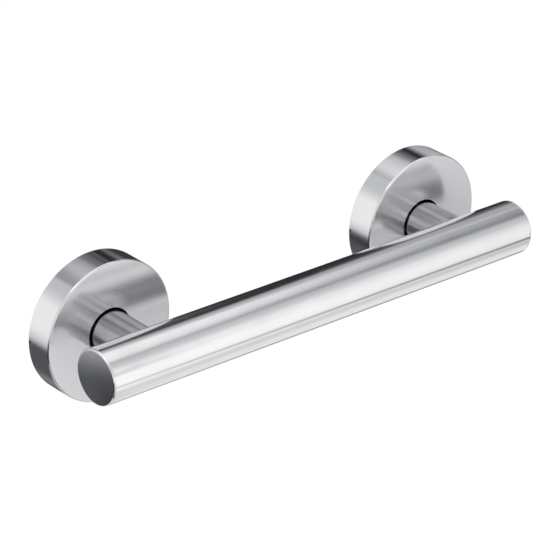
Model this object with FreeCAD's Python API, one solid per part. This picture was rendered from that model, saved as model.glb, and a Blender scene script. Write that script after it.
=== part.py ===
"""Wall-mounted grab bar with two posts, concealed fixing flanges and push-on flange covers.

Row frame, millimetres: the wall is the plane Y = 0 and the room is on the -Y side, X runs
along the bar, Z is up, and the origin lies on the wall midway between the two posts.

Pieces that stand on the wall are drawn in a wall frame, whose Z points out of the wall and
whose Y points up. Pieces inside the bar are drawn in a bar frame, whose Z runs along the bar.
"""
import FreeCAD
import Part
import math
import os

# Overall layout
bar_length = 306.8
bar_diameter = 31.75
post_inset = 38.4
post_diameter = 25.4
wall_clearance = 38.1

# Grip tube and its end caps
bar_wall = 1.6
cap_head_thickness = 1.4
cap_crown = 0.4
cap_edge_round = 0.8
cap_spigot_length = 13.0
cap_spigot_wall = 2.0
cap_spigot_clearance = 0.12
cap_seam_chamfer = 0.1
cap_entry_chamfer = 0.8
cap_ring_cord = 2.0
cap_ring_squeeze = 0.1
cap_ring_side_room = 0.3
cap_ring_setback = 7.0

# Threaded insert inside the tube at each post
insert_to_cap_gap = 6.0
insert_clearance = 0.05
insert_edge_chamfer = 1.0
insert_bore_diameter = 12.0
insert_bore_depth = 8.0

# Post
post_wall = 3.0
post_seat_gap = 0.02
post_foot_chamfer = 0.3

# Mounting flange
gasket_thickness = 1.0
flange_thickness = 6.0
flange_spigot_height = 10.0
flange_spigot_clearance = 0.05
flange_spigot_web = 4.0
flange_edge_round = 0.6
flange_spigot_chamfer = 0.8
screw_hole_count = 6
screw_hole_diameter = 5.6
screw_circle_diameter = 56.0
screw_countersink_diameter = 10.6
screw_countersink_depth = 2.5

# Wall gasket
gasket_to_cover_gap = 0.25

# Flange cover
cover_diameter = 82.5
cover_depth = 17.5
cover_wall = 1.2
cover_face_thickness = 1.5
cover_hole_clearance = 1.15
cover_edge_round = 1.0
cover_hole_round = 0.4
cover_rim_round = 0.25
pry_slot_width = 1.6
pry_slot_lip = 0.3
pry_slot_height = 1.3
pry_slot_angle = 180.0

# Rubber ring that holds the cover on the flange
cover_ring_cord = 2.5
cover_ring_squeeze = 0.1
cover_ring_side_room = 0.4
cover_to_flange_gap = 0.8

# Tie bolt and its spring washer
bolt_diameter = 8.0
bolt_thread_room = 0.05
bolt_head_diameter = 13.0
bolt_head_height = 8.0
bolt_head_chamfer = 0.8
bolt_socket_across_flats = 6.0
bolt_socket_depth = 4.0
bolt_engagement = 14.0
bolt_tip_chamfer = 1.0
bolt_hole_clearance = 0.5
bolt_head_hole_clearance = 0.8
bolt_drill_room = 3.0
washer_thickness = 2.0
washer_radial_width = 2.1
washer_bore_clearance = 0.15
washer_slit_width = 0.7
washer_slit_tilt = 20.0
stack_gap = 0.01

# Worked out from the driving sizes
bar_radius = bar_diameter / 2
bar_bore_radius = bar_radius - bar_wall
bar_axis_distance = wall_clearance + bar_radius
tube_length = bar_length - 2 * cap_head_thickness
cap_crown_radius = (bar_radius ** 2 + cap_crown ** 2) / (2 * cap_crown)
post_spacing = bar_length - 2 * post_inset
insert_half_length = post_inset - cap_head_thickness - cap_spigot_length - insert_to_cap_gap
post_radius = post_diameter / 2
post_bore_radius = post_radius - post_wall
post_foot_height = gasket_thickness + flange_thickness
cover_radius = cover_diameter / 2
cover_hole_radius = post_radius + cover_hole_clearance
cover_bore_radius = cover_radius - cover_wall
flange_radius = cover_bore_radius - cover_to_flange_gap
gasket_radius = cover_bore_radius - gasket_to_cover_gap
bolt_radius = bolt_diameter / 2
bolt_hole_radius = bolt_radius + bolt_hole_clearance
bolt_head_radius = bolt_head_diameter / 2
bolt_head_hole_radius = bolt_head_radius + bolt_head_hole_clearance
spigot_top_height = post_foot_height + flange_spigot_height
bolt_seat_height = spigot_top_height - flange_spigot_web
bolt_bearing_height = bolt_seat_height - washer_thickness - 2 * stack_gap
bolt_thread_start = wall_clearance + bar_wall
bolt_tip_height = bolt_thread_start + bolt_engagement
post_sides = {"left": -post_spacing / 2, "right": post_spacing / 2}
end_sides = {"left": -1, "right": 1}

x_axis = FreeCAD.Vector(1, 0, 0)
y_axis = FreeCAD.Vector(0, 1, 0)
z_axis = FreeCAD.Vector(0, 0, 1)
frame_origin = FreeCAD.Vector(0, 0, 0)


def rounded_face(corners):
    """Face in the XZ plane inside the given (x, z, round) corners, with tangent arcs at rounds."""
    points = [FreeCAD.Vector(x, 0, z) for x, z, _ in corners]
    starts = []
    edges = []
    ends = []
    for index, (_, _, radius) in enumerate(corners):
        here = points[index]
        to_before = (points[index - 1] - here).normalize()
        to_after = (points[(index + 1) % len(points)] - here).normalize()
        if not radius:
            starts.append(here)
            ends.append(here)
            continue
        half_angle = to_before.getAngle(to_after) / 2
        tangent = radius / math.tan(half_angle)
        start = here + to_before * tangent
        end = here + to_after * tangent
        inward = (to_before + to_after).normalize()
        middle = here + inward * (radius / math.sin(half_angle) - radius)
        edges.append(Part.Arc(start, middle, end).toShape())
        starts.append(start)
        ends.append(end)
    for index, end in enumerate(ends):
        next_start = starts[(index + 1) % len(starts)]
        if end.distanceToPoint(next_start) > 1e-6:
            edges.append(Part.LineSegment(end, next_start).toShape())
    return Part.Face(Part.Wire(Part.__sortEdges__(edges)))


def turned(corners):
    """Solid turned about Z from a half section of (radius, height, round) corners."""
    return rounded_face(corners).revolve(frame_origin, z_axis, 360)


def arc_edge(centre_x, centre_z, radius, start, end):
    """Arc in the XZ plane round a centre, its angles measured from Z towards X."""
    points = []
    for angle in (start, (start + end) / 2, end):
        points.append(FreeCAD.Vector(centre_x + radius * math.sin(angle), 0,
                                     centre_z + radius * math.cos(angle)))
    return Part.Arc(*points).toShape()


def line_edges(corners):
    """Straight edges in the XZ plane from each (x, z) corner to the next."""
    points = [FreeCAD.Vector(x, 0, z) for x, z in corners]
    return [Part.LineSegment(here, after).toShape() for here, after in zip(points, points[1:])]


def ring_cord(centre_radius, height, cord_diameter):
    """Rubber ring of round section about Z."""
    return Part.makeTorus(centre_radius, cord_diameter / 2, FreeCAD.Vector(0, 0, height), z_axis)


def drill(radius, low, high, x=0.0, y=0.0):
    """Cylinder along Z from height low to height high, for cutting a hole."""
    return Part.makeCylinder(radius, high - low, FreeCAD.Vector(x, y, low), z_axis)


def screw_places():
    """Centres of the wall screws in the wall frame, the first one straight above the post."""
    circle_radius = screw_circle_diameter / 2
    places = []
    for index in range(screw_hole_count):
        angle = math.radians(90 + index * 360 / screw_hole_count)
        places.append((circle_radius * math.cos(angle), circle_radius * math.sin(angle)))
    return places


def on_wall(shape, x):
    """Carries a shape from the wall frame to the row frame, at the given place along the bar."""
    placed = shape.copy()
    placed.rotate(frame_origin, x_axis, 90)
    placed.translate(FreeCAD.Vector(x, 0, 0))
    return placed


def in_bar(shape, x, flip=False):
    """Carries a shape from the bar frame onto the bar's axis, its Z towards +X or, flipped, -X."""
    placed = shape.copy()
    placed.rotate(frame_origin, y_axis, -90 if flip else 90)
    placed.translate(FreeCAD.Vector(x, -bar_axis_distance, 0))
    return placed


def make_grip_tube():
    """Round tube with a bolt hole through its wall side at each post."""
    half = tube_length / 2
    tube = turned([
        (bar_bore_radius, -half, 0),
        (bar_radius - cap_seam_chamfer, -half, 0),
        (bar_radius, -half + cap_seam_chamfer, 0),
        (bar_radius, half - cap_seam_chamfer, 0),
        (bar_radius - cap_seam_chamfer, half, 0),
        (bar_bore_radius, half, 0),
    ])
    tube = in_bar(tube, 0)
    for x in post_sides.values():
        hole = on_wall(drill(bolt_hole_radius, wall_clearance - bar_wall, bar_axis_distance), x)
        tube = tube.cut(hole)
    return tube


def make_end_cap():
    """Turned plug: a crowned head as wide as the tube, and a hollow spigot with a ring groove."""
    head = cap_head_thickness
    round_reach = cap_crown_radius - cap_edge_round
    round_radius = bar_radius - cap_edge_round
    round_tilt = math.asin(round_radius / round_reach)
    crown_height = head - cap_crown_radius
    round_height = crown_height + round_reach * math.cos(round_tilt)
    spigot_radius = bar_bore_radius - cap_spigot_clearance
    groove_floor = bar_bore_radius - cap_ring_cord + cap_ring_squeeze
    groove_half = (cap_ring_cord + cap_ring_side_room) / 2
    groove_height = -cap_ring_setback
    hollow_radius = spigot_radius - 1.5 * cap_spigot_wall
    bottom = -cap_spigot_length
    edges = [
        arc_edge(0, crown_height, cap_crown_radius, 0, round_tilt),
        arc_edge(round_radius, round_height, cap_edge_round, round_tilt, math.pi / 2),
    ]
    edges += line_edges([
        (bar_radius, round_height),
        (bar_radius, cap_seam_chamfer),
        (bar_radius - cap_seam_chamfer, 0),
        (spigot_radius, 0),
        (spigot_radius, groove_height + groove_half),
        (groove_floor, groove_height + groove_half),
        (groove_floor, groove_height - groove_half),
        (spigot_radius, groove_height - groove_half),
        (spigot_radius, bottom + cap_entry_chamfer),
        (spigot_radius - cap_entry_chamfer, bottom),
        (hollow_radius, bottom),
        (hollow_radius, 0),
        (0, 0),
        (0, head),
    ])
    section = Part.Face(Part.Wire(Part.__sortEdges__(edges)))
    return section.revolve(frame_origin, z_axis, 360)


def make_end_cap_ring():
    """Rubber ring in the groove of an end cap, pressed out against the tube's bore."""
    cord = cap_ring_cord - cap_ring_squeeze - 2 * stack_gap
    return ring_cord(bar_bore_radius - stack_gap - cord / 2, -cap_ring_setback, cord)


def make_tube_insert():
    """Slug inside the tube, cross drilled for the tie bolt, with a blind lightening bore each end."""
    radius = bar_bore_radius - insert_clearance
    half = insert_half_length
    bore_radius = insert_bore_diameter / 2
    slug = turned([
        (0, half - insert_bore_depth, 0),
        (bore_radius, half - insert_bore_depth, 0),
        (bore_radius, half, 0),
        (radius - insert_edge_chamfer, half, 0),
        (radius, half - insert_edge_chamfer, 0),
        (radius, -half + insert_edge_chamfer, 0),
        (radius - insert_edge_chamfer, -half, 0),
        (bore_radius, -half, 0),
        (bore_radius, -half + insert_bore_depth, 0),
        (0, -half + insert_bore_depth, 0),
    ])
    slug = in_bar(slug, 0)
    thread_radius = bolt_radius + bolt_thread_room
    tapped = drill(thread_radius, wall_clearance, bolt_tip_height + bolt_drill_room)
    return slug.cut(on_wall(tapped, 0))


def make_post():
    """Thick-walled tube whose outer end is coped to sit round the back of the grip tube."""
    foot = post_foot_height + stack_gap
    post = turned([
        (post_bore_radius, foot, 0),
        (post_radius - post_foot_chamfer, foot, 0),
        (post_radius, foot + post_foot_chamfer, 0),
        (post_radius, bar_axis_distance, 0),
        (post_bore_radius, bar_axis_distance, 0),
    ])
    seat = Part.makeCylinder(bar_radius + post_seat_gap, 2 * post_diameter,
                             FreeCAD.Vector(-post_diameter, 0, bar_axis_distance), x_axis)
    return post.cut(seat)


def make_mounting_flange():
    """Round flange with a hollow spigot for the post, a ring groove and countersunk screw holes."""
    back = gasket_thickness
    front = post_foot_height
    middle = (back + front) / 2
    groove_half = (cover_ring_cord + cover_ring_side_room) / 2
    groove_floor = cover_bore_radius - cover_ring_cord + cover_ring_squeeze
    spigot_radius = post_bore_radius - flange_spigot_clearance
    flange = turned([
        (bolt_head_hole_radius, back, 0),
        (flange_radius, back, flange_edge_round),
        (flange_radius, middle - groove_half, 0),
        (groove_floor, middle - groove_half, 0),
        (groove_floor, middle + groove_half, 0),
        (flange_radius, middle + groove_half, 0),
        (flange_radius, front, flange_edge_round),
        (spigot_radius, front, 0),
        (spigot_radius, spigot_top_height - flange_spigot_chamfer, 0),
        (spigot_radius - flange_spigot_chamfer, spigot_top_height, 0),
        (bolt_hole_radius, spigot_top_height, 0),
        (bolt_hole_radius, bolt_seat_height, 0),
        (bolt_head_hole_radius, bolt_seat_height, 0),
    ])
    hole_radius = screw_hole_diameter / 2
    sink_radius = screw_countersink_diameter / 2
    for x, y in screw_places():
        sink = Part.makeCone(hole_radius, sink_radius, screw_countersink_depth,
                             FreeCAD.Vector(x, y, front - screw_countersink_depth), z_axis)
        flange = flange.cut(drill(hole_radius, back, front, x, y).fuse(sink))
    return flange


def make_wall_gasket():
    """Flat rubber pad between the flange and the wall, holed for the screws and the bolt head."""
    pad = turned([
        (bolt_head_hole_radius, 0, 0),
        (gasket_radius, 0, 0),
        (gasket_radius, gasket_thickness - stack_gap, 0),
        (bolt_head_hole_radius, gasket_thickness - stack_gap, 0),
    ])
    for x, y in screw_places():
        pad = pad.cut(drill(screw_hole_diameter / 2, 0, gasket_thickness, x, y))
    return pad


def make_flange_cover():
    """Pressed cup with a hole for the post and a small pry slot in the rim near the wall."""
    under_face = cover_depth - cover_face_thickness
    cup = turned([
        (cover_hole_radius, cover_depth, cover_hole_round),
        (cover_radius, cover_depth, cover_edge_round),
        (cover_radius, 0, cover_rim_round),
        (cover_bore_radius, 0, 0),
        (cover_bore_radius, under_face, cover_edge_round),
        (cover_hole_radius, under_face, 0),
    ])
    slot = Part.makeBox(3 * cover_wall, pry_slot_width, pry_slot_height,
                        FreeCAD.Vector(cover_radius - 2 * cover_wall, -pry_slot_width / 2, pry_slot_lip))
    slot.rotate(frame_origin, z_axis, pry_slot_angle)
    return cup.cut(slot)


def make_cover_ring():
    """Rubber ring in the flange's groove, pressed out against the inside of the cover."""
    cord = cover_ring_cord - cover_ring_squeeze - 2 * stack_gap
    middle = gasket_thickness + flange_thickness / 2
    return ring_cord(cover_bore_radius - stack_gap - cord / 2, middle, cord)


def make_tie_bolt():
    """Socket-head bolt that draws the insert in the tube down onto the post and the flange."""
    head_bottom = bolt_bearing_height - bolt_head_height
    bolt = turned([
        (0, head_bottom, 0),
        (bolt_head_radius - bolt_head_chamfer, head_bottom, 0),
        (bolt_head_radius, head_bottom + bolt_head_chamfer, 0),
        (bolt_head_radius, bolt_bearing_height, 0),
        (bolt_radius, bolt_bearing_height, 0),
        (bolt_radius, bolt_tip_height - bolt_tip_chamfer, 0),
        (bolt_radius - bolt_tip_chamfer, bolt_tip_height, 0),
        (0, bolt_tip_height, 0),
    ])
    corner_radius = bolt_socket_across_flats / math.sqrt(3)
    corners = []
    for index in range(7):
        angle = math.radians(60 * index)
        corners.append(FreeCAD.Vector(corner_radius * math.cos(angle),
                                      corner_radius * math.sin(angle), head_bottom))
    socket = Part.Face(Part.makePolygon(corners)).extrude(z_axis * bolt_socket_depth)
    return bolt.cut(socket)


def make_spring_washer():
    """Split ring between the bolt's head and the web of the flange's spigot, pressed flat."""
    inner = bolt_radius + washer_bore_clearance
    outer = inner + washer_radial_width
    low = bolt_bearing_height + stack_gap
    high = low + washer_thickness
    ring = turned([(inner, low, 0), (outer, low, 0), (outer, high, 0), (inner, high, 0)])
    slit = Part.makeBox(2 * outer, washer_slit_width, 3 * washer_thickness,
                        FreeCAD.Vector(0, -washer_slit_width / 2, -1.5 * washer_thickness))
    slit.rotate(frame_origin, x_axis, washer_slit_tilt)
    slit.translate(z_axis * ((low + high) / 2))
    return ring.cut(slit)


def build_pieces():
    """All pieces in the row frame, by node name."""
    pieces = {"grip_tube": make_grip_tube()}
    for side, sign in end_sides.items():
        end = sign * tube_length / 2
        pieces[f"end_cap_{side}"] = in_bar(make_end_cap(), end, flip=sign < 0)
        pieces[f"end_cap_ring_{side}"] = in_bar(make_end_cap_ring(), end, flip=sign < 0)
    wall_pieces = {
        "post": make_post,
        "mounting_flange": make_mounting_flange,
        "wall_gasket": make_wall_gasket,
        "flange_cover": make_flange_cover,
        "cover_ring": make_cover_ring,
        "tie_bolt": make_tie_bolt,
        "spring_washer": make_spring_washer,
    }
    for side, x in post_sides.items():
        for name, make in wall_pieces.items():
            pieces[f"{name}_{side}"] = on_wall(make(), x)
        insert = make_tube_insert()
        insert.translate(x_axis * x)
        pieces[f"tube_insert_{side}"] = insert
    return pieces


def main():
    """Builds every piece and writes one STEP file for each."""
    os.makedirs("parts", exist_ok=True)
    for name, shape in build_pieces().items():
        solid = shape.Solids[0] if len(shape.Solids) == 1 else shape
        solid.exportStep(os.path.join("parts", f"{name}.step"))
        print(f"{name}: {len(shape.Solids)} solid, valid {shape.isValid()}, {shape.Volume:.1f} mm3")


main()
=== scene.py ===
"""Studio scene of a wall-mounted grab bar with two posts and push-on flange covers.

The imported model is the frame. The wall is the plane Y = 0 with the room on the -Y side, X runs
along the bar and Z is up. Pieces are drawn in millimetres in one of two drawing frames, and are
carried from there to the row frame in metres: in the wall frame Z points out of the wall and Y
points up, and in the bar frame Z runs along the bar's axis.
"""
import logging
import math
from collections.abc import Sequence
from dataclasses import dataclass, field
from enum import Enum

import bmesh
import bpy
from mathutils import Euler, Matrix, Vector


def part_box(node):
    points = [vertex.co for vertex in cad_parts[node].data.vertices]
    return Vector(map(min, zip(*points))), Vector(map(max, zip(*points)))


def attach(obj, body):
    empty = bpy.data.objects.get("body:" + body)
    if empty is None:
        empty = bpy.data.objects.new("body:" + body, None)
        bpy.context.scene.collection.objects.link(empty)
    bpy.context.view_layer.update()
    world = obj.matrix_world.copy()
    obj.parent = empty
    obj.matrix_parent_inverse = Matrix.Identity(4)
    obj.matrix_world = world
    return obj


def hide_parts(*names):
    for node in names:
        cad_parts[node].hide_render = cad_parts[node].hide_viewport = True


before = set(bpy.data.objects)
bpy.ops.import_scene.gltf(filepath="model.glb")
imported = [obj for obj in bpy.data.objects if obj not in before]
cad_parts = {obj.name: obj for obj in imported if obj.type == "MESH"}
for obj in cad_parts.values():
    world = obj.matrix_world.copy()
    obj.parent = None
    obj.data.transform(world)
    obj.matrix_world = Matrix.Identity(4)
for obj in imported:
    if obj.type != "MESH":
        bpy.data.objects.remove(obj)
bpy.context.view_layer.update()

MM = 0.001  # metres to a millimetre
ROOT = "root"  # the one body that everything rides on
WELD = 1e-4  # corners nearer than this many millimetres are one
SHARP_ANGLE = math.radians(38)  # a crease that stays sharp
FLAT_FACE_WEIGHT = 100  # how firmly large faces keep their own normals
STRETCH = 0.02  # scale of a noise along its lines, beside 1 across them
HALF = 0.5
log = logging.getLogger("grab_bar")

Section = Sequence[tuple[float, float, float]]
Colour = tuple[float, float, float]
WHITE: Colour = (1.0, 1.0, 1.0)


class Slot(Enum):
    """The record's material slots."""

    CHROME = "polished_chrome"
    FASTENER = "fastener_steel"
    RUBBER = "black_rubber"


class Side(Enum):
    """The two ends of the bar, by their sign along X."""

    LEFT = -1
    RIGHT = 1

    def of(self, name: str) -> str:
        """Gives a piece's node name on this side."""
        return f"{name}_{self.name.lower()}"


@dataclass(frozen=True)
class Extent:
    """Corners of a CAD node in millimetres, in the row frame."""

    low: Vector
    high: Vector

    @classmethod
    def of(cls, node: str) -> "Extent":
        """Reads a node's corners from the frame."""
        low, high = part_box(node)
        return cls(Vector(low) / MM, Vector(high) / MM)

    @property
    def middle(self) -> Vector:
        """Middle of the box."""
        return (self.low + self.high) / 2

    @property
    def size(self) -> Vector:
        """Edge lengths of the box."""
        return self.high - self.low


@dataclass(frozen=True)
class Lathe:
    """Turns half sections and cords about Z into closed solids."""

    segments: int
    round_steps: int = 5

    def section(self, corners: Section) -> bmesh.types.BMesh:
        """Draws a closed half section as a wire.

        Args:
            corners: The (radius, height, round) corners, where round is a corner's fillet.

        Returns:
            A mesh with the wire in the XZ plane.
        """
        wire = bmesh.new()
        points = [wire.verts.new((radius, 0, height)) for radius, height, _ in corners]
        for here, after in zip(points, points[1:] + points[:1]):
            wire.edges.new((here, after))
        places = [point.co.copy() for point in points]
        for index, (point, (_, _, fillet)) in enumerate(zip(points, corners)):
            if not fillet:
                continue
            before = (places[index - 1] - places[index]).normalized()
            after = (places[(index + 1) % len(places)] - places[index]).normalized()
            reach = fillet / math.tan(before.angle(after) / 2)
            bmesh.ops.bevel(wire, geom=[point], offset=reach, offset_type="OFFSET", affect="VERTICES",
                            segments=self.round_steps, profile=0.5, material=-1)
        return wire

    def turn(self, corners: Section) -> bmesh.types.BMesh:
        """Turns a half section into a closed solid.

        Args:
            corners: The (radius, height, round) corners of the half section.

        Returns:
            The turned mesh with its normals outwards.
        """
        solid = self.section(corners)
        bmesh.ops.spin(solid, geom=solid.verts[:] + solid.edges[:], cent=(0, 0, 0), axis=(0, 0, 1),
                       angle=math.tau, steps=self.segments, use_merge=True)
        close(solid)
        return solid

    def ring(self, centre_radius: float, height: float, cord: float, around: int = 20) -> bmesh.types.BMesh:
        """Turns a round cord into a closed ring about Z.

        Args:
            centre_radius: Radius of the cord's centre line.
            height: Height of the ring's middle.
            cord: Diameter of the cord.
            around: Corners of the cord's section.

        Returns:
            The ring's mesh.
        """
        solid = bmesh.new()
        upright = Matrix.Translation((centre_radius, 0, height)) @ Matrix.Rotation(math.pi / 2, 4, "X")
        bmesh.ops.create_circle(solid, segments=around, radius=cord / 2, matrix=upright)
        bmesh.ops.spin(solid, geom=solid.verts[:] + solid.edges[:], cent=(0, 0, 0), axis=(0, 0, 1),
                       angle=math.tau, steps=self.segments, use_merge=True)
        close(solid)
        return solid


def close(mesh: bmesh.types.BMesh) -> None:
    """Merges a mesh's doubles and turns its faces outwards."""
    bmesh.ops.remove_doubles(mesh, verts=mesh.verts[:], dist=WELD)
    bmesh.ops.recalc_face_normals(mesh, faces=mesh.faces[:])


def on_wall(mesh: bmesh.types.BMesh, place: float) -> None:
    """Carries a mesh from the wall frame to the row frame, at the given place along the bar."""
    carry = Matrix.Scale(MM, 4) @ Matrix.Translation((place, 0, 0)) @ Matrix.Rotation(math.pi / 2, 4, "X")
    bmesh.ops.transform(mesh, matrix=carry, verts=mesh.verts[:])


def in_bar(mesh: bmesh.types.BMesh, side: Side, end: Vector) -> None:
    """Carries a mesh from the bar frame to the row frame.

    Args:
        mesh: The mesh, with its Z towards the bar's end.
        side: The end of the bar that it belongs to.
        end: The middle of the tube's cut end, where the mesh has its origin.
    """
    turn = Matrix.Rotation(side.value * math.pi / 2, 4, "Y")
    carry = Matrix.Scale(MM, 4) @ Matrix.Translation(end) @ turn
    bmesh.ops.transform(mesh, matrix=carry, verts=mesh.verts[:])


def piece_from(mesh: bmesh.types.BMesh, node: str, finish: bpy.types.Material) -> bpy.types.Object:
    """Makes the finished piece that stands for a CAD node.

    Args:
        mesh: The piece's mesh in the row frame, which is freed.
        node: The CAD node that the piece replaces.
        finish: The piece's material.

    Returns:
        The piece, shaded smooth with flat faces kept flat.
    """
    data = bpy.data.meshes.new(node)
    for face in mesh.faces:
        face.smooth = True
    mesh.to_mesh(data)
    mesh.free()
    data.set_sharp_from_angle(angle=SHARP_ANGLE)
    data.materials.append(finish)
    piece = bpy.data.objects.new(f"{node}_dressed", data)
    bpy.context.scene.collection.objects.link(piece)
    shading = piece.modifiers.new("flat faces", "WEIGHTED_NORMAL")
    shading.keep_sharp = True
    shading.weight = FLAT_FACE_WEIGHT
    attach(piece, ROOT)
    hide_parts(node)
    log.info("%s: %d faces, %s", piece.name, len(data.polygons), finish.name)
    return piece


def dress(node: str, finish: bpy.types.Material) -> None:
    """Gives a node that is kept from the CAD model its finish."""
    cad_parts[node].data.materials[0] = finish
    log.info("%s: kept, %s", node, finish.name)


def sum_up(tree: bpy.types.NodeTree, operation: str,
           *values: bpy.types.NodeSocket | float) -> bpy.types.NodeSocket:
    """Adds a math node and links or sets its inputs.

    Args:
        tree: The node tree to add to.
        operation: The math node's operation.
        values: A socket or a number for each input, in order.

    Returns:
        The node's output socket.
    """
    node = tree.nodes.new("ShaderNodeMath")
    node.operation = operation
    for socket, value in zip(node.inputs, values):
        if isinstance(value, bpy.types.NodeSocket):
            tree.links.new(value, socket)
        else:
            socket.default_value = value
    return node.outputs[0]


def mixed(tree: bpy.types.NodeTree, share: bpy.types.NodeSocket | float,
          first: bpy.types.NodeSocket | Colour,
          second: bpy.types.NodeSocket | Colour) -> bpy.types.NodeSocket:
    """Adds a colour mix and links or sets its inputs.

    Args:
        tree: The node tree to add to.
        share: How much of the second colour there is.
        first: The first colour.
        second: The second colour.

    Returns:
        The mixed colour's socket.
    """
    node = tree.nodes.new("ShaderNodeMix")
    node.data_type = "RGBA"
    inlets = {socket.identifier: socket for socket in node.inputs}
    for key, value in (("Factor_Float", share), ("A_Color", first), ("B_Color", second)):
        if isinstance(value, bpy.types.NodeSocket):
            tree.links.new(value, inlets[key])
        elif isinstance(value, tuple):
            inlets[key].default_value = (*value, 1.0)
        else:
            inlets[key].default_value = value
    outlets = {socket.identifier: socket for socket in node.outputs}
    return outlets["Result_Color"]


@dataclass(frozen=True)
class Panel:
    """One soft-edged rectangle of the studio's surroundings, so far off that it is a direction.

    Azimuth 0 looks along +Y and 90 along +X, elevation 90 is straight up, and lean turns the
    panel about the way to it. All angles are in degrees. Level is the light that the panel
    sends, where 1 is the white of the backdrop.
    """

    name: str
    azimuth: float
    elevation: float
    width: float
    height: float
    level: float
    side_edge: float
    top_edge: float
    lean: float = 0.0

    def turn(self) -> Euler:
        """Works out how the panel is turned.

        Returns:
            The turn that carries the +Y direction to the middle of the panel.
        """
        spin = Matrix.Rotation(math.radians(-self.azimuth), 3, "Z")
        rise = Matrix.Rotation(math.radians(self.elevation), 3, "X")
        lean = Matrix.Rotation(math.radians(self.lean), 3, "Y")
        return (spin @ rise @ lean).to_euler("XYZ")


@dataclass
class Viewpoint:
    """The camera, standing where the photograph was taken from.

    Its place, roll and lens come from a camera that a program fitted to the outlines in the
    photograph. The places are in metres, the roll is in radians, and sensor and lens are in
    millimetres.
    """

    position: tuple[float, float, float] = (-0.98856, -1.12616, 0.73083)
    target: tuple[float, float, float] = (-0.01933, -0.04570, 0.01354)
    roll: float = 0.0375
    sensor_width: float = 36.0
    lens: float = 190.16
    far: float = 50.0

    def build(self) -> bpy.types.Object:
        """Makes the camera and hands it to the scene.

        Returns:
            The camera object.
        """
        data = bpy.data.cameras.new("viewpoint")
        data.sensor_width = self.sensor_width
        data.lens = self.lens
        data.clip_end = self.far
        camera = bpy.data.objects.new("viewpoint", data)
        bpy.context.scene.collection.objects.link(camera)
        position = Vector(self.position)
        look = (Vector(self.target) - position).to_track_quat("-Z", "Y").to_matrix().to_4x4()
        camera.matrix_world = Matrix.Translation(position) @ look @ Matrix.Rotation(self.roll, 4, "Z")
        bpy.context.scene.camera = camera
        return camera


@dataclass(frozen=True)
class Softbox:
    """A soft lamp that looks at the part from a direction given as on a panel.

    Distance, width and height are in metres, and radiance is on the scale of a panel's level.
    """

    name: str
    azimuth: float
    elevation: float
    distance: float
    width: float
    height: float
    radiance: float

    def build(self) -> bpy.types.Object:
        """Makes the lamp, which no camera sees.

        Returns:
            The lamp object.
        """
        data = bpy.data.lights.new(self.name, "AREA")
        data.shape = "RECTANGLE"
        data.size = self.width
        data.size_y = self.height
        data.energy = self.radiance * math.pi * self.width * self.height
        lamp = bpy.data.objects.new(self.name, data)
        bpy.context.scene.collection.objects.link(lamp)
        azimuth, elevation = math.radians(self.azimuth), math.radians(self.elevation)
        way = Vector((math.sin(azimuth) * math.cos(elevation),
                      math.cos(azimuth) * math.cos(elevation), math.sin(elevation)))
        lamp.location = way * self.distance
        lamp.rotation_euler = way.to_track_quat("Z", "Y").to_euler()
        lamp.visible_camera = False
        return lamp


@dataclass
class Floor:
    """The plain pale floor, so far below the part that its shadow doesn't show. Sizes are in metres."""

    drop: float = 1.2
    radius: float = 0.45
    corners: int = 64
    colour: Colour = (0.82, 0.82, 0.82)
    glow: float = 0.15
    roughness: float = 0.8

    def finish(self) -> bpy.types.Material:
        """Makes the pale paint.

        Returns:
            The material, which glows a little where it is seen, mirrored or seen through glass.
        """
        material = bpy.data.materials.new("pale floor paint")
        material.use_nodes = True
        tree = material.node_tree
        shader = tree.nodes["Principled BSDF"]
        shader.inputs["Base Color"].default_value = (*self.colour, 1.0)
        shader.inputs["Roughness"].default_value = self.roughness
        shader.inputs["Emission Color"].default_value = (*WHITE, 1.0)
        seen = tree.nodes.new("ShaderNodeLightPath")
        straight = sum_up(tree, "MAXIMUM", seen.outputs["Is Camera Ray"], seen.outputs["Is Glossy Ray"])
        either = sum_up(tree, "MAXIMUM", straight, seen.outputs["Is Transmission Ray"])
        tree.links.new(sum_up(tree, "MULTIPLY", either, self.glow), shader.inputs["Emission Strength"])
        return material

    def build(self) -> bpy.types.Object:
        """Lays the floor.

        Returns:
            The floor object.
        """
        sheet = bmesh.new()
        bmesh.ops.create_circle(sheet, cap_ends=True, segments=self.corners, radius=self.radius,
                                matrix=Matrix.Translation((0, 0, -self.drop)))
        data = bpy.data.meshes.new("floor")
        sheet.to_mesh(data)
        sheet.free()
        data.materials.append(self.finish())
        floor = bpy.data.objects.new("floor", data)
        bpy.context.scene.collection.objects.link(floor)
        return floor


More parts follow.
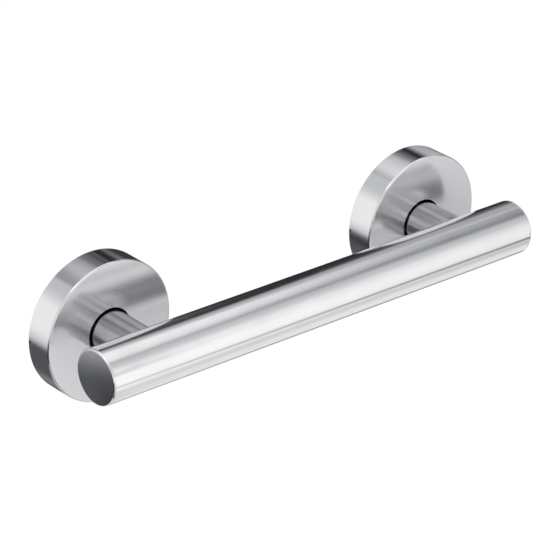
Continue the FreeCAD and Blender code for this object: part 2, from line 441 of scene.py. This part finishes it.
@dataclass
class Studio:
    """The plain bright room round the part: soft panels on the world, one lamp and a pale floor.

    Each panel lies over those before it. A program fitted the base level and thirteen of the
    panels to the reflections in the photograph. They are rounded, two of them were then set
    anew and four changed a little, and the other ten panels were added. What is dark in the room
    is a little blue: the shades are the red and the blue of black, beside its green.
    """

    base_level: float = 0.56
    shade_red: float = 0.972
    shade_blue: float = 1.085
    panels: list[Panel] = field(default_factory=lambda: [
        Panel("ceiling", -23, 84, 80, 71, 0.96, 2, 7),
        Panel("left wall", -170, 33, 9, 32, 0.12, 5, 4),
        Panel("left window", -137, 12, 18, 38, 1.20, 6, 10),
        Panel("front light", 161, -7, 54, 82, 1.05, 26, 28),
        Panel("front floor", 87, -52, 44, 10, 0.85, 25, 2),
        Panel("back light", -27, 5, 102, 43, 0.90, 6, 20),
        Panel("back floor", -22, -38, 128, 24, 0.09, 13, 8),
        Panel("left floor", -100, -31, 88, 28, 0.04, 8, 4),
        Panel("front left floor", -172, -41, 50, 20, 0.50, 10, 8),
        Panel("low shade", -155, -60, 66, 16, 0.03, 10, 8),
        Panel("corner shade", -49, -37, 18, 14, 0.02, 8, 8),
        Panel("front skirting", 117, -29, 40, 6, 0.14, 26, 2),
        Panel("right cornice", 98, 46, 31, 12, 0.22, 12, 10),
        Panel("back cornice", 11, 32, 46, 26, 0.10, 2, 30),
        Panel("right skirting", 43, -13, 12, 46, 0.04, 5, 13),
        Panel("front kerb", 55, -40, 12, 12, 0.25, 6, 6),
        Panel("black flag", 37, 2, 12, 77, 0.02, 10, 16, 10),
        Panel("room shade", 151, 25, 9, 28, 0.01, 2, 12),
        Panel("high window", 161, 47, 20, 15, 1.00, 6, 6),
        Panel("back window", -56, 26, 8, 14, 1.10, 3, 6),
        Panel("top shade", 60, 39, 14, 12, 0.38, 6, 6),
        Panel("right room", 88, 6, 46, 46, 0.22, 14, 14),
        Panel("room behind", -6, 3, 42, 42, 0.25, 14, 14),
    ])
    lamp: Softbox = Softbox("key softbox", azimuth=-100, elevation=62, distance=2.0, width=0.7,
                            height=0.5, radiance=1.4)

    def panel_group(self) -> bpy.types.ShaderNodeTree:
        """Builds the shared node group that says how much of a panel a direction sees.

        Returns:
            The node group, with the half sizes and soft edges of the panel as inputs.
        """
        tree = bpy.data.node_groups.new("soft panel", "ShaderNodeTree")
        inlet = tree.interface.new_socket
        inlet("Direction", in_out="INPUT", socket_type="NodeSocketVector")
        for name in ("Half width", "Half height", "Side edge", "Top edge"):
            inlet(name, in_out="INPUT", socket_type="NodeSocketFloat")
        inlet("Mask", in_out="OUTPUT", socket_type="NodeSocketFloat")
        nodes, links = tree.nodes, tree.links
        start = nodes.new("NodeGroupInput")
        end = nodes.new("NodeGroupOutput")
        split = nodes.new("ShaderNodeSeparateXYZ")
        links.new(start.outputs["Direction"], split.inputs[0])
        around = sum_up(tree, "ARCTAN2", split.outputs["X"], split.outputs["Y"])
        above = sum_up(tree, "ARCSINE", split.outputs["Z"])
        masks = []
        for angle, half, edge in ((around, "Half width", "Side edge"), (above, "Half height", "Top edge")):
            away = sum_up(tree, "ABSOLUTE", angle)
            reach = sum_up(tree, "MULTIPLY", start.outputs[edge], HALF)
            fade = nodes.new("ShaderNodeMapRange")
            fade.interpolation_type = "SMOOTHSTEP"
            links.new(away, fade.inputs["Value"])
            links.new(sum_up(tree, "SUBTRACT", start.outputs[half], reach), fade.inputs["From Min"])
            links.new(sum_up(tree, "ADD", start.outputs[half], reach), fade.inputs["From Max"])
            fade.inputs["To Min"].default_value = 1.0
            fade.inputs["To Max"].default_value = 0.0
            masks.append(fade.outputs["Result"])
        links.new(sum_up(tree, "MULTIPLY", masks[0], masks[1]), end.inputs["Mask"])
        return tree

    @staticmethod
    def panel_mask(tree: bpy.types.NodeTree, group: bpy.types.ShaderNodeTree, panel: Panel,
                   direction: bpy.types.NodeSocket) -> bpy.types.NodeSocket:
        """Places the shared group for one panel.

        Args:
            tree: The world's node tree.
            group: The shared node group.
            panel: The panel.
            direction: The direction that is looked at.

        Returns:
            A socket that is 1 on the panel and 0 off it.
        """
        turn = tree.nodes.new("ShaderNodeMapping")
        turn.vector_type = "TEXTURE"
        turn.inputs["Rotation"].default_value = panel.turn()
        tree.links.new(direction, turn.inputs["Vector"])
        mask = tree.nodes.new("ShaderNodeGroup")
        mask.node_tree = group
        mask.label = panel.name
        tree.links.new(turn.outputs["Vector"], mask.inputs["Direction"])
        sizes = {"Half width": panel.width / 2, "Half height": panel.height / 2,
                 "Side edge": panel.side_edge, "Top edge": panel.top_edge}
        for label, angle in sizes.items():
            mask.inputs[label].default_value = math.radians(angle)
        return mask.outputs["Mask"]

    def build_world(self) -> None:
        """Paints the panels on the world, with plain white where it is seen straight or through glass.

        The metal mirrors the panels and not that white.
        """
        world = bpy.data.worlds.new("studio")
        world.use_nodes = True
        bpy.context.scene.world = world
        tree = world.node_tree
        tree.nodes.clear()
        group = self.panel_group()
        direction = tree.nodes.new("ShaderNodeTexCoord").outputs["Generated"]
        light: bpy.types.NodeSocket | float = self.base_level
        for panel in self.panels:
            blend = tree.nodes.new("ShaderNodeMix")
            blend.data_type = "FLOAT"
            tree.links.new(self.panel_mask(tree, group, panel, direction), blend.inputs["Factor"])
            if isinstance(light, bpy.types.NodeSocket):
                tree.links.new(light, blend.inputs["A"])
            else:
                blend.inputs["A"].default_value = light
            blend.inputs["B"].default_value = panel.level
            light = blend.outputs["Result"]
        tinted = tree.nodes.new("ShaderNodeCombineColor")
        for channel, shade in (("Red", self.shade_red), ("Blue", self.shade_blue)):
            tint = sum_up(tree, "MULTIPLY_ADD", light, 1.0 - shade, shade)
            tree.links.new(sum_up(tree, "MULTIPLY", light, tint), tinted.inputs[channel])
        tree.links.new(light, tinted.inputs["Green"])
        seen = tree.nodes.new("ShaderNodeLightPath")
        straight = sum_up(tree, "MAXIMUM", seen.outputs["Is Camera Ray"],
                          seen.outputs["Is Transmission Ray"])
        backdrop = mixed(tree, straight, tinted.outputs["Color"], WHITE)
        shine = tree.nodes.new("ShaderNodeBackground")
        tree.links.new(backdrop, shine.inputs["Color"])
        out = tree.nodes.new("ShaderNodeOutputWorld")
        tree.links.new(shine.outputs["Background"], out.inputs["Surface"])

    def build(self) -> None:
        """Builds the world, the lamp and the floor, and sets the plain view transform."""
        self.build_world()
        self.lamp.build()
        Floor().build()
        bpy.context.scene.view_settings.view_transform = "Standard"


class Lay(Enum):
    """The way in which the marks of a finish run."""

    EVEN = "in no direction"
    ALONG_BAR = "lines along the bar"
    ALONG_POST = "lines along a post"
    ROUND_BAR = "rings about the bar's axis"
    ROUND_POST = "rings about a post's axis"

    def place(self, tree: bpy.types.NodeTree) -> bpy.types.NodeSocket:
        """Gives the place that a noise reads, so that its marks run this way.

        Args:
            tree: The material's node tree.

        Returns:
            A vector socket, in metres across the marks.
        """
        where = tree.nodes.new("ShaderNodeTexCoord").outputs["Object"]
        if self in (Lay.EVEN, Lay.ALONG_BAR, Lay.ALONG_POST):
            stretch = tree.nodes.new("ShaderNodeMapping")
            scales = {Lay.EVEN: (1.0, 1.0, 1.0), Lay.ALONG_BAR: (STRETCH, 1.0, 1.0),
                      Lay.ALONG_POST: (1.0, STRETCH, 1.0)}
            stretch.inputs["Scale"].default_value = scales[self]
            tree.links.new(where, stretch.inputs["Vector"])
            return stretch.outputs["Vector"]
        split = tree.nodes.new("ShaderNodeSeparateXYZ")
        tree.links.new(where, split.inputs[0])
        if self is Lay.ROUND_BAR:
            along, axis = split.outputs["X"], Extent.of("grip_tube").middle.y * MM
            off = sum_up(tree, "SUBTRACT", split.outputs["Y"], axis)
        else:
            along, axis = split.outputs["Y"], Extent.of("post_right").middle.x * MM
            off = sum_up(tree, "SUBTRACT", sum_up(tree, "ABSOLUTE", split.outputs["X"]), axis)
        squares = sum_up(tree, "MULTIPLY_ADD", split.outputs["Z"], split.outputs["Z"],
                         sum_up(tree, "MULTIPLY", off, off))
        rings = tree.nodes.new("ShaderNodeCombineXYZ")
        tree.links.new(sum_up(tree, "SQRT", squares), rings.inputs["X"])
        tree.links.new(along, rings.inputs["Y"])
        return rings.outputs["Vector"]


@dataclass(frozen=True)
class Noise:
    """A noise that several finishes share, as a node group, cut off at spread from its middle."""

    name: str
    detail: float
    roughness: float
    spread: float

    def build(self) -> bpy.types.ShaderNodeTree:
        """Makes the group, which turns a place into a value from 0 to 1.

        Returns:
            The node group.
        """
        tree = bpy.data.node_groups.new(self.name, "ShaderNodeTree")
        socket = tree.interface.new_socket
        socket("Vector", in_out="INPUT", socket_type="NodeSocketVector")
        socket("Scale", in_out="INPUT", socket_type="NodeSocketFloat")
        socket("Value", in_out="OUTPUT", socket_type="NodeSocketFloat")
        start = tree.nodes.new("NodeGroupInput")
        end = tree.nodes.new("NodeGroupOutput")
        noise = tree.nodes.new("ShaderNodeTexNoise")
        noise.inputs["Detail"].default_value = self.detail
        noise.inputs["Roughness"].default_value = self.roughness
        tree.links.new(start.outputs["Vector"], noise.inputs["Vector"])
        tree.links.new(start.outputs["Scale"], noise.inputs["Scale"])
        spread = tree.nodes.new("ShaderNodeMapRange")
        spread.inputs["From Min"].default_value = HALF - self.spread
        spread.inputs["From Max"].default_value = HALF + self.spread
        tree.links.new(noise.outputs["Fac"], spread.inputs["Value"])
        tree.links.new(spread.outputs["Result"], end.inputs["Value"])
        return tree


@dataclass
class Textures:
    """The node groups that the finishes share, made once."""

    cloud: bpy.types.ShaderNodeTree
    marks: bpy.types.ShaderNodeTree

    @classmethod
    def build(cls) -> "Textures":
        """Makes both groups."""
        return cls(cloud=Noise("soft cloud", detail=2.0, roughness=0.5, spread=0.16).build(),
                   marks=Noise("fine marks", detail=5.0, roughness=0.6, spread=0.2).build())

    @staticmethod
    def read(tree: bpy.types.NodeTree, group: bpy.types.ShaderNodeTree, place: bpy.types.NodeSocket,
             scale: float) -> bpy.types.NodeSocket:
        """Places a group in a material.

        Args:
            tree: The material's node tree.
            group: The node group.
            place: The place that it reads, in metres.
            scale: How many features it has to a metre.

        Returns:
            The value's socket, from 0 to 1.
        """
        node = tree.nodes.new("ShaderNodeGroup")
        node.node_tree = group
        tree.links.new(place, node.inputs["Vector"])
        node.inputs["Scale"].default_value = scale
        return node.outputs["Value"]


@dataclass(frozen=True)
class Finish:
    """A surface finish: two near colours, a gloss that wanders and fine marks that run one way.

    Clear and hazy are the least and greatest roughness, the scales count features to a metre,
    and the depth of the marks is in millimetres.
    """

    name: str
    light: Colour
    dark: Colour
    clear: float
    hazy: float
    lay: Lay
    mark_scale: float
    mark_depth: float
    cloud_scale: float = 45.0
    metallic: float = 1.0

    def tint(self, tree: bpy.types.NodeTree, colour: bpy.types.NodeSocket) -> bpy.types.NodeSocket:
        """Gives the colour of the surface from its two near colours, mixed."""
        return colour

    def polish(self, tree: bpy.types.NodeTree, shader: bpy.types.Node, cloud: bpy.types.NodeSocket) -> None:
        """Sets how clearly the surface mirrors.

        Args:
            tree: The material's node tree.
            shader: The material's shader.
            cloud: From 0 where the surface is clear to 1 where it is hazy.
        """
        shader.inputs["Metallic"].default_value = self.metallic
        rough = sum_up(tree, "MULTIPLY_ADD", cloud, self.hazy - self.clear, self.clear)
        tree.links.new(rough, shader.inputs["Roughness"])

    def build(self, textures: Textures) -> bpy.types.Material:
        """Makes the material.

        Args:
            textures: The shared node groups.

        Returns:
            The material.
        """
        material = bpy.data.materials.new(self.name)
        material.use_nodes = True
        tree = material.node_tree
        shader = tree.nodes["Principled BSDF"]
        cloud = textures.read(tree, textures.cloud, Lay.EVEN.place(tree), self.cloud_scale)
        marks = textures.read(tree, textures.marks, self.lay.place(tree), self.mark_scale)
        tone = sum_up(tree, "MULTIPLY", sum_up(tree, "ADD", cloud, marks), HALF)
        colour = mixed(tree, tone, self.light, self.dark)
        tree.links.new(self.tint(tree, colour), shader.inputs["Base Color"])
        self.polish(tree, shader, cloud)
        bump = tree.nodes.new("ShaderNodeBump")
        bump.inputs["Distance"].default_value = self.mark_depth * MM
        tree.links.new(marks, bump.inputs["Height"])
        tree.links.new(bump.outputs["Normal"], shader.inputs["Normal"])
        return material


@dataclass(frozen=True)
class CoverFinish(Finish):
    """The covers' polish: a clear turned rim, and a flat face in painted shade with a soft haze over the
    mirror.

    The face is what lies within face_skin millimetres of the cover's front. There face_rough is
    added to the roughness, face_veil is taken from the metal, and the colour is painted a little
    darker than the rim's, as painted shade.
    """

    # Painted shade: the flat face's colour, a little darker than the rim's.
    face_shade_colour: Colour = (0.84, 0.84, 0.85)
    face_rough: float = 0.045
    face_veil: float = 0.3
    face_skin: float = 0.3

    def on_face(self, tree: bpy.types.NodeTree) -> bpy.types.NodeSocket:
        """Tells the flat face from the rest of the cover.

        Args:
            tree: The material's node tree.

        Returns:
            A socket that is 1 on the face and 0 elsewhere.
        """
        face = Extent.of("flange_cover_right").low.y + self.face_skin
        split = tree.nodes.new("ShaderNodeSeparateXYZ")
        tree.links.new(tree.nodes.new("ShaderNodeTexCoord").outputs["Object"], split.inputs[0])
        return sum_up(tree, "LESS_THAN", split.outputs["Y"], face * MM)

    def tint(self, tree: bpy.types.NodeTree, colour: bpy.types.NodeSocket) -> bpy.types.NodeSocket:
        """Gives the colour of the surface, with painted shade on the flat face: a little darker there."""
        return mixed(tree, self.on_face(tree), colour, self.face_shade_colour)

    def polish(self, tree: bpy.types.NodeTree, shader: bpy.types.Node, cloud: bpy.types.NodeSocket) -> None:
        """Sets how clearly the surface mirrors, with the haze on the face alone.

        Args:
            tree: The material's node tree.
            shader: The material's shader.
            cloud: From 0 where the surface is clear to 1 where it is hazy.
        """
        face = self.on_face(tree)
        rough = sum_up(tree, "MULTIPLY_ADD", cloud, self.hazy - self.clear, self.clear)
        rougher = sum_up(tree, "MULTIPLY_ADD", face, self.face_rough, rough)
        veiled = sum_up(tree, "MULTIPLY_ADD", face, -self.face_veil, self.metallic)
        tree.links.new(rougher, shader.inputs["Roughness"])
        tree.links.new(veiled, shader.inputs["Metallic"])


@dataclass
class Finishes:
    """The finishes of all pieces, made once."""

    tube: bpy.types.Material
    cap: bpy.types.Material
    cover: bpy.types.Material
    post: bpy.types.Material
    turned: bpy.types.Material
    fastener: bpy.types.Material
    brass: bpy.types.Material
    rubber: bpy.types.Material

    @classmethod
    def build(cls) -> "Finishes":
        """Makes every finish.

        Returns:
            The finishes, as materials.
        """
        made = {
            "tube": Finish("polished tube", light=(0.92, 0.92, 0.92), dark=(0.88, 0.88, 0.88), clear=0.13,
                           hazy=0.17, lay=Lay.ALONG_BAR, mark_scale=900.0, mark_depth=0.0004),
            "cap": Finish("polished cap", light=(0.91, 0.91, 0.91), dark=(0.88, 0.88, 0.88), clear=0.09,
                          hazy=0.12, lay=Lay.ROUND_BAR, mark_scale=900.0, mark_depth=0.0004),
            "cover": CoverFinish("polished cover", light=(0.91, 0.91, 0.91), dark=(0.88, 0.88, 0.88),
                                 clear=0.11, hazy=0.13, lay=Lay.ROUND_POST, mark_scale=700.0,
                                 mark_depth=0.0003),
            # Painted shade: the post's chrome is much darker than the bar's, for the shade that it stands
            # in.
            "post": Finish("satin post with painted shade", light=(0.59, 0.59, 0.60), dark=(0.38, 0.39, 0.40), clear=0.15,
                           hazy=0.20, lay=Lay.ALONG_POST, mark_scale=700.0, mark_depth=0.002),
            "turned": Finish("turned steel", light=(0.66, 0.67, 0.68), dark=(0.54, 0.55, 0.56), clear=0.24,
                             hazy=0.34, lay=Lay.ROUND_POST, mark_scale=2200.0, mark_depth=0.01),
            "fastener": Finish("zinc plated steel", light=(0.62, 0.63, 0.64), dark=(0.48, 0.49, 0.52),
                               clear=0.28, hazy=0.42, lay=Lay.EVEN, mark_scale=1500.0, mark_depth=0.008),
            "brass": Finish("turned brass", light=(0.78, 0.61, 0.34), dark=(0.66, 0.50, 0.25), clear=0.22,
                            hazy=0.34, lay=Lay.ROUND_BAR, mark_scale=2200.0, mark_depth=0.01),
            "rubber": Finish("black rubber", light=(0.035, 0.035, 0.037), dark=(0.022, 0.022, 0.024),
                             clear=0.55, hazy=0.7, lay=Lay.EVEN, mark_scale=2600.0, mark_depth=0.03,
                             metallic=0.0),
        }
        shared = Textures.build()
        return cls(**{name: finish.build(shared) for name, finish in made.items()})


@dataclass
class GripBar:
    """The tube that the hand holds, with the plugs that close its ends. Sizes are in millimetres."""

    finishes: Finishes
    cap_crown: float = 0.4
    cap_edge_round: float = 0.8
    seam_chamfer: float = 0.1
    entry_chamfer: float = 0.8
    spigot_wall: float = 3.0
    spigot_room: float = 0.12
    ring_cord: float = 2.0
    ring_squeeze: float = 0.1
    ring_side_room: float = 0.3
    ring_setback: float = 7.0
    bore_radius: float = 14.275
    crown_steps: int = 10
    lathe: Lathe = Lathe(segments=144)
    radius: float = field(init=False)
    half_length: float = field(init=False)
    axis: Vector = field(init=False)

    def __post_init__(self) -> None:
        """Reads the tube's place from the frame."""
        tube = Extent.of("grip_tube")
        self.radius = tube.size.z / 2
        self.axis = tube.middle
        self.half_length = tube.size.x / 2

    def end(self, side: Side) -> Vector:
        """Gives the middle of the tube's cut end on one side."""
        return self.axis + Vector((side.value * self.half_length, 0, 0))

    def cap_mesh(self, side: Side) -> bmesh.types.BMesh:
        """Draws an end cap: a crowned head as wide as the tube, on a hollow grooved spigot.

        Args:
            side: The end of the bar that it closes.

        Returns:
            The cap's mesh in the bar frame, with its origin at the tube's cut end.
        """
        cap = Extent.of(side.of("end_cap"))
        head = max(abs(cap.low.x), abs(cap.high.x)) - self.half_length
        spigot_end = min(abs(cap.low.x), abs(cap.high.x)) - self.half_length
        spigot = self.bore_radius - self.spigot_room
        groove_floor = self.bore_radius - self.ring_cord + self.ring_squeeze
        groove_half = (self.ring_cord + self.ring_side_room) / 2
        hollow = spigot - self.spigot_wall
        crown = []
        for step in range(self.crown_steps):
            share = step / self.crown_steps
            crown.append((share * self.radius, head - self.cap_crown * share ** 2, 0))
        return self.lathe.turn([
            *crown,
            (self.radius, head - self.cap_crown, self.cap_edge_round),
            (self.radius, self.seam_chamfer, 0),
            (self.radius - self.seam_chamfer, 0, 0),
            (spigot, 0, 0),
            (spigot, groove_half - self.ring_setback, 0),
            (groove_floor, groove_half - self.ring_setback, 0),
            (groove_floor, -groove_half - self.ring_setback, 0),
            (spigot, -groove_half - self.ring_setback, 0),
            (spigot, spigot_end + self.entry_chamfer, 0),
            (spigot - self.entry_chamfer, spigot_end, 0),
            (hollow, spigot_end, 0),
            (hollow, 0, 0),
            (0, 0, 0),
        ])

    def ring_mesh(self) -> bmesh.types.BMesh:
        """Draws the rubber ring on an end cap's spigot."""
        cord = self.ring_cord - self.ring_squeeze
        return self.lathe.ring(self.bore_radius - cord / 2, -self.ring_setback, cord)

    def build(self) -> None:
        """Makes the caps and their rings, and dresses the tube and its inserts."""
        dress("grip_tube", self.finishes.tube)
        for side in Side:
            cap = self.cap_mesh(side)
            in_bar(cap, side, self.end(side))
            piece_from(cap, side.of("end_cap"), self.finishes.cap)
            ring = self.ring_mesh()
            in_bar(ring, side, self.end(side))
            piece_from(ring, side.of("end_cap_ring"), self.finishes.rubber)
            dress(side.of("tube_insert"), self.finishes.brass)


@dataclass
class FlangeCover:
    """The pressed cup that hides a flange, with its rubber ring inside. Sizes are in millimetres."""

    finishes: Finishes
    wall: float = 1.2
    face_thickness: float = 1.5
    hole_radius: float = 13.85
    edge_round: float = 1.0
    hole_round: float = 0.4
    rim_round: float = 0.25
    slot_width: float = 1.6
    slot_lip: float = 0.3
    slot_top: float = 1.6
    ring_cord: float = 2.4
    ring_height: float = 4.0
    lathe: Lathe = Lathe(segments=162)

    def cup_mesh(self, radius: float, depth: float) -> bmesh.types.BMesh:
        """Draws the cup, with its open rim on the wall and a pry slot in the rim towards -X.

        Args:
            radius: Outer radius of the cup.
            depth: Height of the cup's face above the wall.

        Returns:
            The cup's mesh in the wall frame.
        """
        bore = radius - self.wall
        under_face = depth - self.face_thickness
        cup = self.lathe.turn([
            (self.hole_radius, depth, self.hole_round),
            (radius, depth, self.edge_round),
            (radius, self.slot_top, 0),
            (radius, self.slot_lip, 0),
            (radius, 0, self.rim_round),
            (bore, 0, 0),
            (bore, self.slot_lip, 0),
            (bore, self.slot_top, 0),
            (bore, under_face, self.edge_round),
            (self.hole_radius, under_face, 0),
        ])
        half_step = math.pi / self.lathe.segments
        bmesh.ops.rotate(cup, cent=(0, 0, 0), matrix=Matrix.Rotation(half_step, 3, "Z"), verts=cup.verts[:])
        self.cut_slot(cup, bore)
        return cup

    def cut_slot(self, cup: bmesh.types.BMesh, bore: float) -> None:
        """Opens the pry slot in the rim and walls it in.

        Args:
            cup: The cup's mesh, with a face of the slot's size in the middle of its -X side.
            bore: Inner radius of the cup.
        """
        out = []
        for face in cup.faces:
            middle = face.calc_center_median()
            beside = abs(middle.y) < self.slot_width / 2
            if middle.x < -bore / 2 and beside and self.slot_lip < middle.z < self.slot_top:
                out.append(face)
        bmesh.ops.delete(cup, geom=out, context="FACES")
        bmesh.ops.bridge_loops(cup, edges=[edge for edge in cup.edges if edge.is_boundary])
        bmesh.ops.recalc_face_normals(cup, faces=cup.faces[:])

    def build(self) -> None:
        """Makes both covers and their rings."""
        for side in Side:
            node = side.of("flange_cover")
            extent = Extent.of(node)
            radius = extent.size.z / 2
            cup = self.cup_mesh(radius, extent.size.y)
            on_wall(cup, extent.middle.x)
            piece_from(cup, node, self.finishes.cover)
            ring_radius = radius - self.wall - self.ring_cord / 2
            ring = self.lathe.ring(ring_radius, self.ring_height, self.ring_cord)
            on_wall(ring, extent.middle.x)
            piece_from(ring, side.of("cover_ring"), self.finishes.rubber)


@dataclass
class PostMounting:
    """A post with all that holds it: flange, gasket, tie bolt and spring washer, in millimetres."""

    finishes: Finishes
    post_wall: float = 3.0
    foot_chamfer: float = 0.3
    seat_gap: float = 0.02
    gasket_hole_radius: float = 7.3
    screw_circle_radius: float = 28.0
    screw_hole_radius: float = 2.8
    screw_count: int = 6
    hole_corners: int = 32
    washer_width: float = 2.1
    washer_slit: float = 0.7
    washer_steps: int = 48
    lathe: Lathe = Lathe(segments=96)

    def post_mesh(self, extent: Extent, bar_axis: float, bar_radius: float) -> bmesh.types.BMesh:
        """Draws the post, with its outer end coped to the back of the bar.

        Args:
            extent: The post's box.
            bar_axis: Height of the bar's axis above the wall.
            bar_radius: Radius of the bar.

        Returns:
            The post's mesh in the wall frame.
        """
        radius = extent.size.x / 2
        bore = radius - self.post_wall
        foot = -extent.high.y
        flat_top = bar_axis - bar_radius
        post = self.lathe.turn([
            (bore, foot, 0),
            (radius - self.foot_chamfer, foot, 0),
            (radius, foot + self.foot_chamfer, 0),
            (radius, flat_top, 0),
            (bore, flat_top, 0),
        ])
        seat = bar_radius + self.seat_gap
        for vert in post.verts:
            if abs(vert.co.z - flat_top) < WELD:
                vert.co.z = bar_axis - math.sqrt(seat ** 2 - vert.co.y ** 2)
        return post

    def gasket_mesh(self, extent: Extent) -> bmesh.types.BMesh:
        """Draws the flat rubber pad with its bolt and screw holes.

        Args:
            extent: The pad's box.

        Returns:
            The pad's mesh in the wall frame.
        """
        pad = bmesh.new()
        holes = [(0.0, 0.0, self.gasket_hole_radius)]
        for index in range(self.screw_count):
            angle = math.pi / 2 + math.tau * index / self.screw_count
            holes.append((self.screw_circle_radius * math.cos(angle),
                          self.screw_circle_radius * math.sin(angle), self.screw_hole_radius))
        bmesh.ops.create_circle(pad, segments=self.lathe.segments, radius=extent.size.x / 2)
        for x, y, radius in holes:
            bmesh.ops.create_circle(pad, segments=self.hole_corners, radius=radius,
                                    matrix=Matrix.Translation((x, y, 0)))
        bmesh.ops.triangle_fill(pad, edges=pad.edges[:], use_beauty=True, use_dissolve=False)
        lifted = bmesh.ops.extrude_face_region(pad, geom=pad.faces[:], use_keep_orig=True)
        top = [item for item in lifted["geom"] if isinstance(item, bmesh.types.BMVert)]
        bmesh.ops.translate(pad, vec=(0, 0, extent.size.y), verts=top)
        close(pad)
        return pad

    def washer_mesh(self, extent: Extent) -> bmesh.types.BMesh:
        """Draws the split spring washer.

        Args:
            extent: The washer's box.

        Returns:
            The washer's mesh in the wall frame.
        """
        outer = extent.size.x / 2
        inner = outer - self.washer_width
        low = -extent.high.y
        high = -extent.low.y
        ring = bmesh.new()
        corners = [ring.verts.new((radius, 0, height)) for radius, height in
                   ((inner, low), (outer, low), (outer, high), (inner, high))]
        profile = ring.faces.new(corners)
        gap = self.washer_slit / ((inner + outer) / 2)
        bmesh.ops.rotate(ring, cent=(0, 0, 0), matrix=Matrix.Rotation(gap / 2, 3, "Z"), verts=ring.verts[:])
        bmesh.ops.spin(ring, geom=ring.verts[:] + ring.edges[:] + [profile], cent=(0, 0, 0),
                       axis=(0, 0, 1), angle=math.tau - gap, steps=self.washer_steps)
        close(ring)
        return ring

    def build(self) -> None:
        """Makes the posts and their fixings."""
        bar = Extent.of("grip_tube")
        for side in Side:
            extent = Extent.of(side.of("post"))
            place = extent.middle.x
            post = self.post_mesh(extent, -bar.middle.y, bar.size.z / 2)
            on_wall(post, place)
            piece_from(post, side.of("post"), self.finishes.post)
            gasket = self.gasket_mesh(Extent.of(side.of("wall_gasket")))
            on_wall(gasket, place)
            piece_from(gasket, side.of("wall_gasket"), self.finishes.rubber)
            washer = self.washer_mesh(Extent.of(side.of("spring_washer")))
            on_wall(washer, place)
            piece_from(washer, side.of("spring_washer"), self.finishes.fastener)
            dress(side.of("mounting_flange"), self.finishes.turned)
            dress(side.of("tie_bolt"), self.finishes.fastener)


def main() -> None:
    """Builds the camera, the studio and the pieces, in that order."""
    Viewpoint().build()
    Studio().build()
    finishes = Finishes.build()
    GripBar(finishes).build()
    FlangeCover(finishes).build()
    PostMounting(finishes).build()


if __name__ == "__main__":
    logging.basicConfig(level=logging.INFO, format="%(message)s")
    main()
